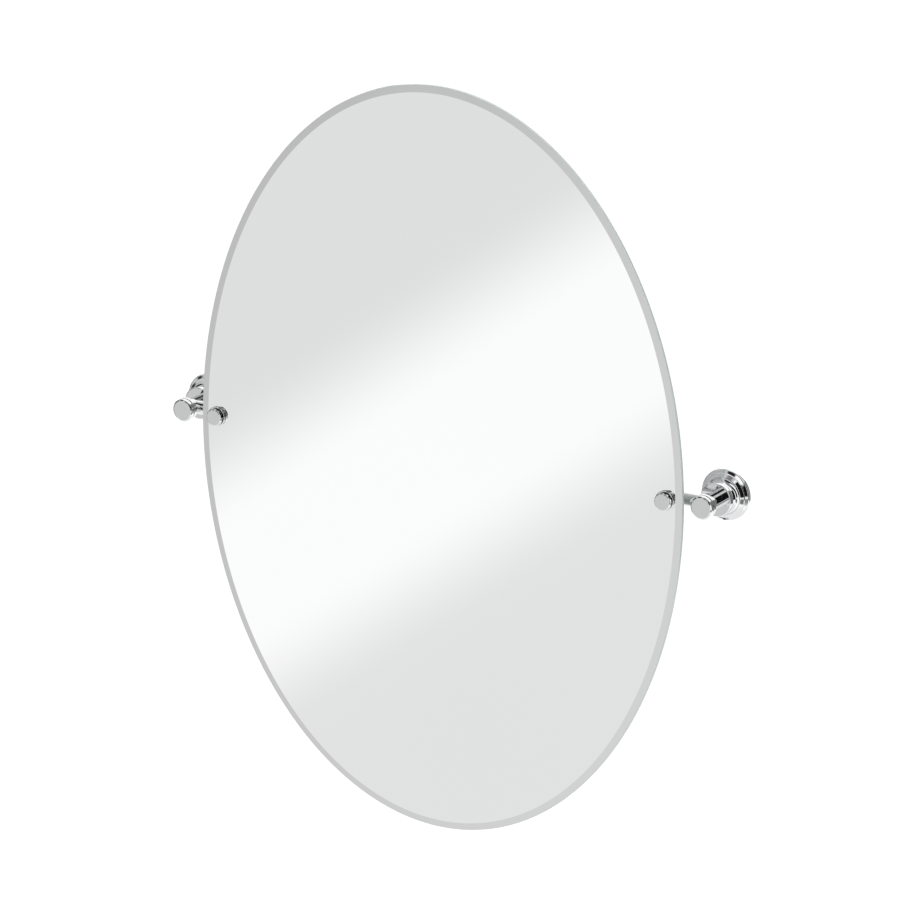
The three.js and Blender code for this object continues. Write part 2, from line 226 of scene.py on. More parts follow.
past = 1 * mm                          # how far a drill runs past what it cuts
crisp = 0.2 * mm                       # rounding of an edge that looks sharp
slight = 0.15 * mm                     # rounding of an edge that is hardly seen
keen = 0.1 * mm                        # rounding that only takes the burr off


def turned(name, outline, middle, axis="Y", steps=96, hold=0.1 * mm):
    """A piece turned about an axis through middle. Its outline is (radius, place, rounding) corners,
    with the places along that axis. It closes on itself unless it starts on the axis. A long straight
    gets an extra point at the distance hold from both of its ends."""
    number = "XYZ".index(axis)
    along = Vector([float(i == number) for i in range(3)])
    outward = Vector((1, 0, 0)) if axis == "Z" else Vector((0, 0, 1))
    shape = bmesh.new()
    corners = []
    for radius, place, _ in outline:
        spot = middle.copy()
        spot[number] = place
        corners.append(shape.verts.new(spot + outward * radius))
    for first, second in zip(corners, corners[1:]):
        shape.edges.new((first, second))
    if outline[0][0] > 0:
        shape.edges.new((corners[-1], corners[0]))
    for corner, (_, _, rounding) in zip(corners, outline):
        if rounding:
            segments = max(4, round(rounding / mm * 4))      # four for each millimetre of rounding
            bmesh.ops.bevel(shape, geom=[corner], offset=rounding, offset_type="OFFSET", affect="VERTICES",
                            segments=segments, profile=0.5, material=-1)
    # The extra points keep a straight's flat or round shading true
    for edge in [e for e in shape.edges if e.calc_length() > 8 * hold]:
        length = edge.calc_length()
        far = edge.verts[1]
        bmesh.utils.edge_split(edge, edge.verts[0], hold / length)
        rest = next(e for e in far.link_edges if e.calc_length() > length / 2)
        bmesh.utils.edge_split(rest, far, hold / rest.calc_length())
    bmesh.ops.spin(shape, geom=shape.verts[:] + shape.edges[:], cent=middle, axis=along, angle=math.tau,
                   steps=steps, use_merge=True, use_duplicate=False)
    return made(name, shape)


def drilled(piece, drill):
    """Takes a drill's shape out of a piece, and the drill away."""
    cut = piece.modifiers.new("cut", "BOOLEAN")
    cut.operation = "DIFFERENCE"
    cut.object = drill
    cut.solver = "EXACT"
    result = bpy.data.meshes.new_from_object(piece.evaluated_get(bpy.context.evaluated_depsgraph_get()))
    piece.modifiers.clear()
    piece.data = result
    result.set_sharp_from_angle(angle=SHARP)
    bpy.data.objects.remove(drill)
    return piece


chrome = new_finish("polished_chrome", (0.68, 0.685, 0.69), 0.04, metallic=1.0)
polish = noise_on(chrome, 120, detail=4)
vary_color(chrome, polish, (0.665, 0.67, 0.675), (0.69, 0.695, 0.70))
vary_roughness(chrome, polish, 0.02, 0.06)

rosette_radius = 25 * mm
rosette_rim = 3.6 * mm
rosette_height = 16.5 * mm
rim_shoulder = 0.6 * mm
rim_round = 1.4 * mm
step_radius = 21.4 * mm
step_back = -4.86 * mm
shoulder_back = -5.96 * mm
shoulder_front = -7.96 * mm
shoulder_radius = 18.2 * mm
rosette_neck = 12.6 * mm
rosette_bore = 5.15 * mm
cavity_radius = 20.4 * mm
cavity_depth = 5 * mm
well_radius = 7 * mm
well_floor = -9 * mm
grub_hole = 2.15 * mm
plate_middle = -2.3 * mm
face_round = 0.5 * mm
cove_land = 0.3 * mm
step_round = 0.25 * mm
rim_lift = 0.2 * mm
rim_edge_round = 0.8 * mm
cavity_round = 0.3 * mm
fine_steps = 128
drill_steps = 32

for side in SIDES:
    node = f"{side}_rosette"
    middle = middle_of(node)
    rosette = turned(f"{node}_fine", [
        (rosette_bore, -rosette_height, crisp),
        (rosette_neck, -rosette_height, face_round),
        (rosette_neck, shoulder_front, shoulder_radius - rosette_neck - cove_land),
        (shoulder_radius, shoulder_front, step_round),
        (step_radius, shoulder_back, step_round),
        (step_radius, step_back, crisp),
        (rosette_radius - rim_shoulder, -rosette_rim + rim_lift, rim_shoulder),
        (rosette_radius, -rosette_rim + rim_round, rim_edge_round),
        (rosette_radius, 0, slight),
        (cavity_radius, 0, slight),
        (cavity_radius, -cavity_depth, cavity_round),
        (well_radius, -cavity_depth, crisp),
        (well_radius, well_floor, crisp),
        (rosette_bore, well_floor, 0),
    ], middle, steps=fine_steps)
    drill = turned("drill", [
        (0, -rosette_radius - 2 * past, 0),
        (grub_hole, -rosette_radius - 2 * past, 0),
        (grub_hole, -cavity_radius + past, 0),
        (0, -cavity_radius + past, 0),
    ], Vector((middle.x, plate_middle, 0)), axis="Z", steps=drill_steps)
    dress(drilled(rosette, drill), node, "wall_brackets", "chrome", chrome)


# ---------------------------------------------------------------- set screws and post screws
# Headless steel screws with a hexagon recess: one from below clamps the rosette to its plate and
# one holds the arm in the post. A cheese-head screw holds the post to the rosette from inside.

def key_screw(name, outline, middle, axis, face, across, depth, steps=48):
    """A turned screw whose outline starts at the rim of a six-sided recess in its face. The recess
    goes the way that depth says."""
    number = "XYZ".index(axis)
    body = turned(name, outline, middle, axis, steps)
    shape = bmesh.new()
    shape.from_mesh(body.data)
    bpy.data.objects.remove(body)
    rim = [edge for edge in shape.edges if edge.is_boundary]
    spot = middle.copy()
    spot[number] = face
    turn = {"X": Matrix.Rotation(math.radians(90), 4, "Y"), "Y": Matrix.Rotation(math.radians(90), 4, "X"),
            "Z": Matrix.Identity(4)}[axis]
    hexagon = bmesh.ops.create_circle(shape, cap_ends=False, segments=6, radius=across / math.sqrt(3),
                                      matrix=Matrix.Translation(spot) @ turn)
    bmesh.ops.subdivide_edges(shape, edges=edges_at(hexagon["verts"]), cuts=steps // 6 - 1)
    mouth = [edge for edge in shape.edges if edge.is_wire]
    bmesh.ops.bridge_loops(shape, edges=rim + mouth)
    walls = bmesh.ops.extrude_edge_only(shape, edges=mouth)
    low_verts = [item for item in walls["geom"] if isinstance(item, bmesh.types.BMVert)]
    inward = Vector([depth * float(i == number) for i in range(3)])
    bmesh.ops.translate(shape, verts=low_verts, vec=inward)
    floor = [item for item in walls["geom"] if isinstance(item, bmesh.types.BMEdge) and item.is_boundary]
    bmesh.ops.edgeloop_fill(shape, edges=floor)
    return made(name, shape)


black_steel = new_finish("blackened_steel", (0.10, 0.10, 0.105), 0.4, metallic=1.0)
oiled = noise_on(black_steel, 420, detail=5)
vary_color(black_steel, oiled, (0.06, 0.06, 0.065), (0.17, 0.17, 0.17))
vary_roughness(black_steel, oiled, 0.3, 0.5)
relief(black_steel, noise_on(black_steel, 900), 0.01 * mm)

grub_radius = 2 * mm
grub_point = 0.6 * mm
grub_key = 2 * mm
key_depth = 1.6 * mm
key_rim = 1.35 * mm
post_screw_radius = 2.5 * mm
post_screw_head = 4.5 * mm
post_screw_head_height = 3 * mm
screw_seat = 0.1 * mm
post_screw_key = 3 * mm
post_key_rim = 2.1 * mm
screw_end_round = 0.4 * mm

for side in SIDES:
    for node in (f"{side}_rosette_grub_screw", f"{side}_arm_grub_screw"):
        low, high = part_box(node)
        screw = key_screw(f"{node}_fine", [
            (key_rim, low.z, 0),
            (grub_radius, low.z, crisp),
            (grub_radius, high.z - grub_point, 0),
            (grub_radius - grub_point, high.z, 0),
            (0, high.z, 0),
        ], middle_of(node), "Z", low.z, grub_key, key_depth)
        dress(screw, node, "wall_brackets", "steel", black_steel)
    node = f"{side}_post_screw"
    low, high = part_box(node)
    under_head = high.y - post_screw_head_height + screw_seat
    screw = key_screw(f"{node}_fine", [
        (post_key_rim, high.y, 0),
        (post_screw_head, high.y, screw_end_round),
        (post_screw_head, under_head, slight),
        (post_screw_radius, under_head, 0),
        (post_screw_radius, low.y, screw_end_round),
        (0, low.y, 0),
    ], middle_of(node), "Y", high.y, post_screw_key, -key_depth)
    dress(screw, node, "wall_brackets", "steel", zinc)


# ---------------------------------------------------------------- collars, posts and end caps
# Turned brass, polished and chromed. The flat-faced collar is clamped between rosette and post, the
# post's neck flares into a flange, and the flat cap screws into it and leaves a thin groove behind.

bore = 5.15 * mm
collar_edge = 0.7 * mm
neck_radius = 8 * mm
neck_flare = 1.9 * mm
flange_thickness = 3.5 * mm
spigot_radius = 5 * mm
neck_back = -22.2 * mm
pivot_y = -31.3 * mm
cap_chamfer = 1.3 * mm
cap_chamfer_depth = 1.1 * mm
cap_groove_radius = 9.4 * mm
cap_groove = 1.2 * mm
cap_spigot = 4 * mm
cap_bore = 4.15 * mm
cap_spigot_length = 6.7 * mm
arm_spigot = 4 * mm
arm_spigot_reach = 4 * mm
hole_fit = 0.15 * mm
collar_round = 0.3 * mm
flange_round = 0.5 * mm
cap_round = 0.25 * mm
cap_rear_round = 0.4 * mm
spigot_round = 0.3 * mm
arm_hole_steps = 48

for side, toward in SIDES.items():
    node = f"{side}_collar"
    low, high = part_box(node)
    radius = (high.x - low.x) / 2
    collar = turned(f"{node}_fine", [
        (bore, low.y, 0),
        (radius - collar_edge, low.y, crisp),
        (radius, low.y + collar_edge, collar_round),
        (radius, high.y - collar_edge, collar_round),
        (radius - collar_edge, high.y, crisp),
        (bore, high.y, 0),
    ], middle_of(node), steps=fine_steps)
    dress(collar, node, "wall_brackets", "chrome", chrome)

    node = f"{side}_post"
    low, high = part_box(node)
    middle = middle_of(node)
    radius = (high.x - low.x) / 2
    flange_back = low.y + flange_thickness
    post = turned(f"{node}_fine", [
        (0, low.y + cap_spigot_length, 0),
        (cap_bore, low.y + cap_spigot_length, 0),
        (cap_bore, low.y, 0),
        (radius, low.y, flange_round),
        (radius, flange_back, flange_round),
        (neck_radius, flange_back, neck_flare),
        (neck_radius, neck_back, keen),
        (spigot_radius, neck_back, 0),
        (spigot_radius, high.y, spigot_round),
        (0, high.y, 0),
    ], middle, steps=fine_steps)
    drill_end = middle.x - toward * arm_spigot_reach
    drill_start = middle.x + toward * (neck_radius + past)
    arm_drill = turned("arm_drill", [
        (0, drill_end, 0),
        (arm_spigot + hole_fit, drill_end, 0),
        (arm_spigot + hole_fit, drill_start, 0),
        (0, drill_start, 0),
    ], Vector((0, pivot_y, 0)), axis="X", steps=arm_hole_steps)
    grub_drill = turned("grub_drill", [
        (0, 0, 0),
        (grub_hole, 0, 0),
        (grub_hole, -neck_radius - past, 0),
        (0, -neck_radius - past, 0),
    ], Vector((middle.x, pivot_y, 0)), axis="Z", steps=drill_steps)
    dress(drilled(drilled(post, arm_drill), grub_drill), node, "wall_brackets", "chrome", chrome)

    node = f"{side}_end_cap"
    low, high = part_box(node)
    radius = (high.x - low.x) / 2
    cap_back = high.y - cap_spigot_length
    cap = turned(f"{node}_fine", [
        (0, low.y, 0),
        (radius - cap_chamfer, low.y, cap_round),
        (radius, low.y + cap_chamfer_depth, cap_round),
        (radius, cap_back - cap_groove, cap_rear_round),
        (cap_groove_radius, cap_back - cap_groove, slight),
        (cap_groove_radius, cap_back, keen),
        (cap_spigot, cap_back, 0),
        (cap_spigot, high.y, spigot_round),
        (0, high.y, 0),
    ], middle_of(node), steps=fine_steps)
    dress(cap, node, "wall_brackets", "chrome", chrome)


# ---------------------------------------------------------------- arms
# A round chromed bar from each post to behind the pane. Its end is hollowed to sit on the post's
# neck, and the pivot screw goes into its other end. The real arm also has a spigot into the post,
# which can't be seen and isn't drawn here.

arm_length = 30 * mm
arm_edge = 0.6 * mm
arm_bore = 2.65 * mm
arm_bore_depth = 12 * mm
arm_root = 5 * mm                      # where the arm starts inside the neck, before it is hollowed
saddle_half = 12 * mm

for side, toward in SIDES.items():
    node = f"{side}_arm"
    low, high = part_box(node)
    radius = (high.z - low.z) / 2
    post_x = middle_of(f"{side}_post").x
    end = post_x + toward * arm_length
    axis_point = Vector((0, pivot_y, 0))
    start = post_x + toward * arm_root
    arm = turned(f"{node}_fine", [
        (0, start, 0),
        (radius, start, 0),
        (radius, end, arm_edge),
        (arm_bore, end, 0),
        (arm_bore, end - toward * arm_bore_depth, 0),
        (0, end - toward * arm_bore_depth, 0),
    ], axis_point, axis="X")
    saddle = turned("saddle", [
        (0, pivot_y - saddle_half, 0),
        (neck_radius + hole_fit, pivot_y - saddle_half, 0),
        (neck_radius + hole_fit, pivot_y + saddle_half, 0),
        (0, pivot_y + saddle_half, 0),
    ], Vector((post_x, 0, 0)))
    dress(drilled(arm, saddle), node, "wall_brackets", "chrome", chrome)


# ---------------------------------------------------------------- pivots
# Behind the pane each arm carries a shouldered steel screw. A machined brass block turns on it
# between a nylon washer and a spring washer, which keep the tilt stiff enough to stay put.

nylon = new_finish("natural_nylon", (0.80, 0.79, 0.74), 0.5)
milky = noise_on(nylon, 300)
vary_color(nylon, milky, (0.74, 0.73, 0.67), (0.85, 0.84, 0.80))
vary_roughness(nylon, milky, 0.4, 0.6)
nylon.node_tree.nodes["Principled BSDF"].inputs["Subsurface Weight"].default_value = 0.15
nylon.node_tree.nodes["Principled BSDF"].inputs["Subsurface Scale"].default_value = 1 * mm

brass = new_finish("machined_brass", (0.72, 0.52, 0.22), 0.3, metallic=1.0)
tarnish = noise_on(brass, 150, detail=5)
vary_color(brass, tarnish, (0.58, 0.40, 0.17), (0.78, 0.58, 0.27))
vary_roughness(brass, tarnish, 0.2, 0.42)
relief(brass, noise_on(brass, 220, stretch=(12, 1, 1)), 0.02 * mm)

pivot_radius = 2.5 * mm
pivot_bore = 2.6 * mm
block_edge = 0.6 * mm
boss_radius = 6.3 * mm
shank_bore = 2.65 * mm
pivot_head_radius = 4.6 * mm
pivot_head_height = 3.2 * mm
pivot_head_round = 0.5 * mm
boss_round = 0.3 * mm
boss_clear = 1 * mm                    # between the boss's inner end and the pivot screw
split_gap = 1.2 * mm
split_width = 4 * mm
split_height = 8 * mm
split_up = 4.83 * mm                   # from the washer's middle to the middle of the cutter
split_slant = math.radians(25)

for side, toward in SIDES.items():
    axis_point = Vector((0, pivot_y, 0))

    node = f"{side}_friction_washer"
    low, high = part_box(node)
    washer = turned(f"{node}_fine", [
        (arm_bore, low.x, 0),
        ((high.z - low.z) / 2, low.x, slight),
        ((high.z - low.z) / 2, high.x, slight),
        (arm_bore, high.x, 0),
    ], axis_point, axis="X")
    dress(washer, node, "wall_brackets", "nylon", nylon)

    node = f"{side}_pivot_block"
    low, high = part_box(node)
    radius = (high.z - low.z) / 2
    barrel = turned(f"{node}_fine", [
        (pivot_bore, low.x, 0),
        (radius, low.x, block_edge),
        (radius, high.x, block_edge),
        (pivot_bore, high.x, 0),
    ], axis_point, axis="X")
    boss_end = pivot_y - pivot_radius - boss_clear
    boss = turned("boss", [
        (shank_bore, low.y, keen),
        (boss_radius, low.y, boss_round),
        (boss_radius, boss_end, 0),
        (shank_bore, boss_end, 0),
    ], Vector((middle_of(node).x, 0, 0)))
    join = barrel.modifiers.new("join", "BOOLEAN")
    join.operation = "UNION"
    join.object = boss
    joined = bpy.data.meshes.new_from_object(barrel.evaluated_get(bpy.context.evaluated_depsgraph_get()))
    barrel.modifiers.clear()
    barrel.data = joined
    joined.set_sharp_from_angle(angle=SHARP)
    bpy.data.objects.remove(boss)
    dress(barrel, node, "mirror", "brass", brass)

    node = f"{side}_spring_washer"
    low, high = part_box(node)
    washer = turned(f"{node}_fine", [
        (arm_bore, low.x, keen),
        ((high.z - low.z) / 2, low.x, keen),
        ((high.z - low.z) / 2, high.x, keen),
        (arm_bore, high.x, keen),
    ], axis_point, axis="X")
    split_place = Matrix.Translation(middle_of(node) + Vector((0, 0, split_up)))
    split_turn = Matrix.Rotation(split_slant, 4, "Z")
    split_size = Matrix.Diagonal((split_width, split_gap, split_height, 1))
    cutter = bmesh.new()
    bmesh.ops.create_cube(cutter, size=1, matrix=split_place @ split_turn @ split_size)
    dress(drilled(washer, made("cutter", cutter)), node, "wall_brackets", "steel", zinc)

    node = f"{side}_pivot_screw"
    low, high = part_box(node)
    top, tip = (high.x, low.x) if toward > 0 else (low.x, high.x)
    under_head = top - toward * pivot_head_height
    screw = key_screw(f"{node}_fine", [
        (post_key_rim, top, 0),
        (pivot_head_radius, top, pivot_head_round),
        (pivot_head_radius, under_head, crisp),
        (pivot_radius, under_head, 0),
        (pivot_radius, tip, screw_end_round),
        (0, tip, 0),
    ], axis_point, "X", top, post_screw_key, -toward * key_depth)
    dress(screw, node, "wall_brackets", "steel", zinc)


# ---------------------------------------------------------------- the pane
# Float glass cut to an oval, with a wide flat bevel ground and polished round its front, a thin
# polished rim, and silver behind. Two holes level with the pivots carry it. The mirror finish is
# drawn on the front face and the bevel, so that a knob and its reflection meet.

glass_low, glass_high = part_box("mirror_glass")
glass_middle = middle_of("mirror_glass")
half_width = (glass_high.x - glass_low.x) / 2
half_height = (glass_high.z - glass_low.z) / 2
bevel_width = 7.2 * mm
bevel_depth = 0.9 * mm
arris = 0.4 * mm
hole_radius = 4.2 * mm
hole_points = 48
rim_points = 360
bevel_line = math.radians(4)           # keeps the line between face and bevel sharp
rear_limit = -0.9                      # face and bevel turn more to the room than this
screw_x = middle_of("right_knob").x


def oval(shape, inset, y):
    """The edges of the pane's outline, moved in by inset."""
    return ring(shape, glass_middle, y, half_width - inset, half_height - inset, rim_points)


def pane_holes(shape, front_y, back_y):
    """The two drilled holes, as pairs of a front and a back ring with their wall between them."""
    pairs = []
    for x in (-screw_x, screw_x):
        spot = Vector((x, 0, 0))
        pair = [round_ring(shape, spot, y, hole_radius, hole_points) for y in (front_y, back_y)]
        wall_through(shape, pair)
        pairs.append(pair)
    return pairs


silvered = new_finish("silvered_glass", (0.88, 0.89, 0.885), 0.0, metallic=1.0)
haze = noise_on(silvered, 2.2, detail=2)
vary_color(silvered, haze, (0.877, 0.888, 0.882), (0.884, 0.891, 0.888))

cut_edge = new_finish("polished_glass_edge", (0.36, 0.40, 0.385), 0.1)
wheel_marks = noise_on(cut_edge, 24, detail=3)
vary_color(cut_edge, wheel_marks, (0.34, 0.38, 0.365), (0.38, 0.42, 0.405))
vary_roughness(cut_edge, wheel_marks, 0.05, 0.14)

glass = bmesh.new()
face_ring = oval(glass, bevel_width, glass_low.y)
back_ring = oval(glass, arris, glass_high.y)
wall_through(glass, [
    face_ring,
    oval(glass, arris, glass_low.y + bevel_depth),
    oval(glass, 0, glass_low.y + bevel_depth + arris),
    oval(glass, 0, glass_high.y - arris),
    back_ring,
])
pairs = pane_holes(glass, glass_low.y, glass_high.y)
flat_between(glass, [face_ring, *[pair[0] for pair in pairs]])
flat_between(glass, [back_ring, *[pair[1] for pair in pairs]])
pane = made("mirror_glass_fine", glass, sharp=bevel_line)
for face in pane.data.polygons:
    if face.normal.y > rear_limit:
        face.material_index = 1             # rim, back and holes
dress(pane, "mirror_glass", "mirror", "mirror_glass", silvered, cut_edge)

# The silver lies under a coat of grey protective paint that stops just short of the rim
paint = new_finish("backing_paint", (0.46, 0.475, 0.48), 0.5)
brushed_on = noise_on(paint, 70, detail=6)
vary_color(paint, brushed_on, (0.445, 0.46, 0.465), (0.475, 0.49, 0.495))
vary_roughness(paint, brushed_on, 0.45, 0.68)
relief(paint, noise_on(paint, 340, detail=4), 0.06 * mm)

coat_gap = 0.02 * mm                   # keeps the coat's front just clear of the pane's back
coat_slope = 0.15 * mm
coat_edge = 0.1 * mm
paint_low, paint_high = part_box("mirror_backing")
paint_inset = half_width - (paint_high.x - paint_low.x) / 2
coat = bmesh.new()
coat_front = paint_low.y + coat_gap
front_ring = oval(coat, paint_inset, coat_front)
back_ring = oval(coat, paint_inset + coat_slope, paint_high.y)
wall_through(coat, [front_ring, oval(coat, paint_inset, paint_high.y - coat_edge), back_ring])
pairs = pane_holes(coat, coat_front, paint_high.y)
flat_between(coat, [front_ring, *[pair[0] for pair in pairs]])
flat_between(coat, [back_ring, *[pair[1] for pair in pairs]])
dress(made("mirror_backing_fine", coat), "mirror_backing", "mirror", "back_paint", paint)


# ---------------------------------------------------------------- rear washers, sleeves and front pads
# A rubber washer between block and glass, a nylon sleeve that lines the hole, and a thin clear
# vinyl pad in front, so that no metal touches the pane.

rubber = new_finish("black_rubber", (0.025, 0.025, 0.027), 0.8)
bloom = noise_on(rubber, 380, detail=4)
vary_color(rubber, bloom, (0.018, 0.018, 0.02), (0.04, 0.04, 0.042))
vary_roughness(rubber, bloom, 0.7, 0.9)
relief(rubber, noise_on(rubber, 900), 0.03 * mm)

vinyl = new_finish("clear_vinyl", (0.72, 0.76, 0.76), 0.25)
cloudy = noise_on(vinyl, 260)
vary_color(vinyl, cloudy, (0.66, 0.70, 0.70), (0.78, 0.82, 0.82))
vary_roughness(vinyl, cloudy, 0.18, 0.34)
vinyl.node_tree.nodes["Principled BSDF"].inputs["Transmission Weight"].default_value = 0.6

rubber_round = 0.25 * mm

for side in SIDES:
    for name, slot, finish, edge in (
        ("rear_washer", "rubber", rubber, rubber_round),
        ("glass_sleeve", "nylon", nylon, keen),
        ("front_pad", "clear_vinyl", vinyl, keen),
    ):
        node = f"{side}_{name}"
        low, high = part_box(node)
        radius = (high.x - low.x) / 2
        washer = turned(f"{node}_fine", [
            (shank_bore, low.y, edge / 2),
            (radius, low.y, edge),
            (radius, high.y, edge),
            (shank_bore, high.y, edge / 2),
        ], middle_of(node))
        dress(washer, node, "mirror", slot, finish)


# ---------------------------------------------------------------- knob washers and knobs
# The pieces seen in front of the pane, chromed brass: a flat washer, and a flat-faced knob on a
# short neck whose shank screws into the pivot block and clamps the pane.

washer_edge = 0.5 * mm
knob_chamfer = 0.8 * mm
knob_thickness = 3.3 * mm
knob_neck = 6 * mm
knob_neck_length = 1.4 * mm
knob_back_round = 0.4 * mm
knob_neck_round = 0.3 * mm
shank_radius = 2.5 * mm

for side in SIDES:
    node = f"{side}_knob_washer"
    low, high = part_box(node)
    radius = (high.x - low.x) / 2
    washer = turned(f"{node}_fine", [
        (shank_bore, low.y, 0),
        (radius, low.y, washer_edge),
        (radius, high.y, slight),
        (shank_bore, high.y, 0),
    ], middle_of(node), steps=fine_steps)
    dress(washer, node, "mirror", "chrome", chrome)

    node = f"{side}_knob"
    low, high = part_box(node)
    radius = (high.x - low.x) / 2
    disc_back = low.y + knob_thickness
    shank_front = disc_back + knob_neck_length
    knob = turned(f"{node}_fine", [
        (0, low.y, 0),
        (radius - knob_chamfer, low.y, crisp),
        (radius, low.y + knob_chamfer, crisp),
        (radius, disc_back, knob_back_round),
        (knob_neck, disc_back, knob_neck_round),
        (knob_neck, shank_front, keen),
        (shank_radius, shank_front, 0),
        (shank_radius, high.y, screw_end_round),
        (0, high.y, 0),
    ], middle_of(node), steps=fine_steps)
    dress(knob, node, "mirror", "chrome", chrome)


# ---------------------------------------------------------------- studio
# A plain pale floor well below the mirror, a white surround and soft lamps. The chrome sees light,
# grey and dark screens in the surround, and the pane sees a card with a diagonal light band.

THIN = 1e-6                            # stands for the size that a flat card hasn't got


def plain_card(name, corner_low, corner_high, finish):
    """A flat stage card between two corners, one of whose three sizes is zero."""
    size = Vector(corner_high) - Vector(corner_low)
    flat = min(range(3), key=lambda i: abs(size[i]))
    turn = (Matrix.Rotation(math.radians(90), 4, "Y"), Matrix.Rotation(math.radians(90), 4, "X"),
            Matrix.Identity(4))[flat]
    scale = Matrix.Diagonal([max(abs(s), THIN) for s in size] + [1])
    place = Matrix.Translation((Vector(corner_low) + Vector(corner_high)) / 2)
    card = bmesh.new()
    bmesh.ops.create_grid(card, x_segments=1, y_segments=1, size=0.5, matrix=place @ scale @ turn)
    mesh = bpy.data.meshes.new(name)
    card.to_mesh(mesh)
    card.free()
    stage = bpy.data.objects.new(name, mesh)
    stage.data.materials.append(finish)
    scene.collection.objects.link(stage)
    return stage


# Floor: pale paint, lifted to white for the camera, with the object's shadow kept
floor_z = -1.25
floor_reach = 14
lift_share = 0.8
lift_strength = 1.1
floor_finish = new_finish("pale_floor", (0.9, 0.9, 0.9), 0.9)
vary_color(floor_finish, noise_on(floor_finish, 1.5, detail=2), (0.89, 0.89, 0.89), (0.91, 0.91, 0.91))
nodes, links = floor_finish.node_tree.nodes, floor_finish.node_tree.links
lift = nodes.new("ShaderNodeEmission")
lifted = nodes.new("ShaderNodeMixShader")
lifted.inputs["Fac"].default_value = lift_share
lift.inputs["Strength"].default_value = lift_strength
links.new(nodes["Principled BSDF"].outputs["BSDF"], lifted.inputs[1])
links.new(lift.outputs["Emission"], lifted.inputs[2])
links.new(lifted.outputs["Shader"], nodes["Material Output"].inputs["Surface"])
floor = plain_card("floor", (-floor_reach, -floor_reach, floor_z), (floor_reach, floor_reach, floor_z),
                   floor_finish)
floor.visible_glossy = False

# World: white to the camera, and plain light on all sides. The pane looks into
# a light grey room, and the chrome into a white one with grey and dark screens.
background = 1.0
ambient = 0.9
room_level = 0.678
room_slope = 0.2
first_reflection = 1.5                 # a ray's first reflection has a glossy depth below this
world = bpy.data.worlds.new("studio")
scene.world = world
world.use_nodes = True
nodes, links = world.node_tree.nodes, world.node_tree.links
nodes.clear()


def computed(operation, *values):
    """A sum on numbers or sockets in the world's nodes."""
    node = nodes.new("ShaderNodeMath")
    node.operation = operation
    for socket, value in zip(node.inputs, values):
        if isinstance(value, (int, float)):
            socket.default_value = value
        else:
            links.new(value, socket)
    return node.outputs["Value"]


def backdrop(strength):
    """A plain white world of a strength that is a number or a socket."""
    node = nodes.new("ShaderNodeBackground")
    node.inputs["Color"].default_value = (1, 1, 1, 1)
    if isinstance(strength, (int, float)):
        node.inputs["Strength"].default_value = strength
    else:
        links.new(strength, node.inputs["Strength"])
    return node.outputs["Background"]


def chosen(factor, otherwise, this):
    """One shader where the factor is 0 and another where it is 1."""
    node = nodes.new("ShaderNodeMixShader")
    links.new(factor, node.inputs["Fac"])
    links.new(otherwise, node.inputs[1])
    links.new(this, node.inputs[2])
    return node.outputs["Shader"]


def soft_step(value, low, high):
    """Rises smoothly from 0 to 1 while the value goes from low to high."""
    node = nodes.new("ShaderNodeMapRange")
    node.interpolation_type = "SMOOTHSTEP"
    node.inputs["From Min"].default_value = low
    node.inputs["From Max"].default_value = high
    links.new(value, node.inputs["Value"])
    return node.outputs["Result"]


path = nodes.new("ShaderNodeLightPath")
direction = nodes.new("ShaderNodeTexCoord")
split = nodes.new("ShaderNodeSeparateXYZ")
links.new(direction.outputs["Generated"], split.inputs["Vector"])
east, north, height = split.outputs
room_azimuth = computed("DEGREES", computed("ARCTAN2", east, computed("MULTIPLY", north, -1)))
room_elevation = computed("DEGREES", computed("ARCSINE", height))

# Screens that the chrome sees: azimuth from and to, with 0 the room and 90 the right, elevation from
# and to, the width of the soft edge, all in degrees, and brightness
light_box = 1.45
screens = (
    (-200, 200, -100, -42, 16, 1.15),
    (-118, -15, -35, 70, 12, 0.81),
    (-20, 62, 34, 80, 10, 0.35),
    (-24, -3, 6, 38, 6, 0.02),
    (-15, -4, -12, 8, 4, 0.02),
    (16, 46, -14, 38, 5, 0.01),
    (58, 114, -22, 38, 6, 0.01),
    (-64, -42, -32, 20, 6, 0.04),
    (-106, -78, -6, 30, 8, 0.05),
    (22, 60, -34, -18, 6, 0.25),
    (-150, -106, -30, 0, 6, 0.03),
    (122, 156, -26, 60, 6, 0.22),
    (-80, -42, 34, 62, 8, 0.04),
)
chrome_room = light_box
for left_edge, right_edge, lower, upper, soft, brightness in screens:
    inside = computed("MULTIPLY", soft_step(room_azimuth, left_edge - soft / 2, left_edge + soft / 2),
                      soft_step(room_elevation, lower - soft / 2, lower + soft / 2))
    beyond = computed("MAXIMUM", soft_step(room_azimuth, right_edge - soft / 2, right_edge + soft / 2),
                      soft_step(room_elevation, upper - soft / 2, upper + soft / 2))
    cover = computed("MULTIPLY", inside, computed("SUBTRACT", 1, beyond))
    kept = computed("MULTIPLY", chrome_room, computed("SUBTRACT", 1, cover))
    chrome_room = computed("MULTIPLY_ADD", cover, brightness, kept)

# The room that the pane sees, darker at the upper left and lighter at the lower right
pane_room = computed("MULTIPLY_ADD", computed("SUBTRACT", east, height), room_slope, room_level)
by_way_of_pane = computed("MULTIPLY", path.outputs["Is Singular Ray"],
                          computed("LESS_THAN", path.outputs["Glossy Depth"], first_reflection))
reflected = chosen(by_way_of_pane, backdrop(chrome_room), backdrop(pane_room))
clear_ray = computed("MAXIMUM", path.outputs["Is Glossy Ray"], path.outputs["Is Transmission Ray"])
unseen = chosen(clear_ray, backdrop(ambient), reflected)
output = nodes.new("ShaderNodeOutputWorld")
links.new(chosen(path.outputs["Is Camera Ray"], unseen, backdrop(background)), output.inputs["Surface"])

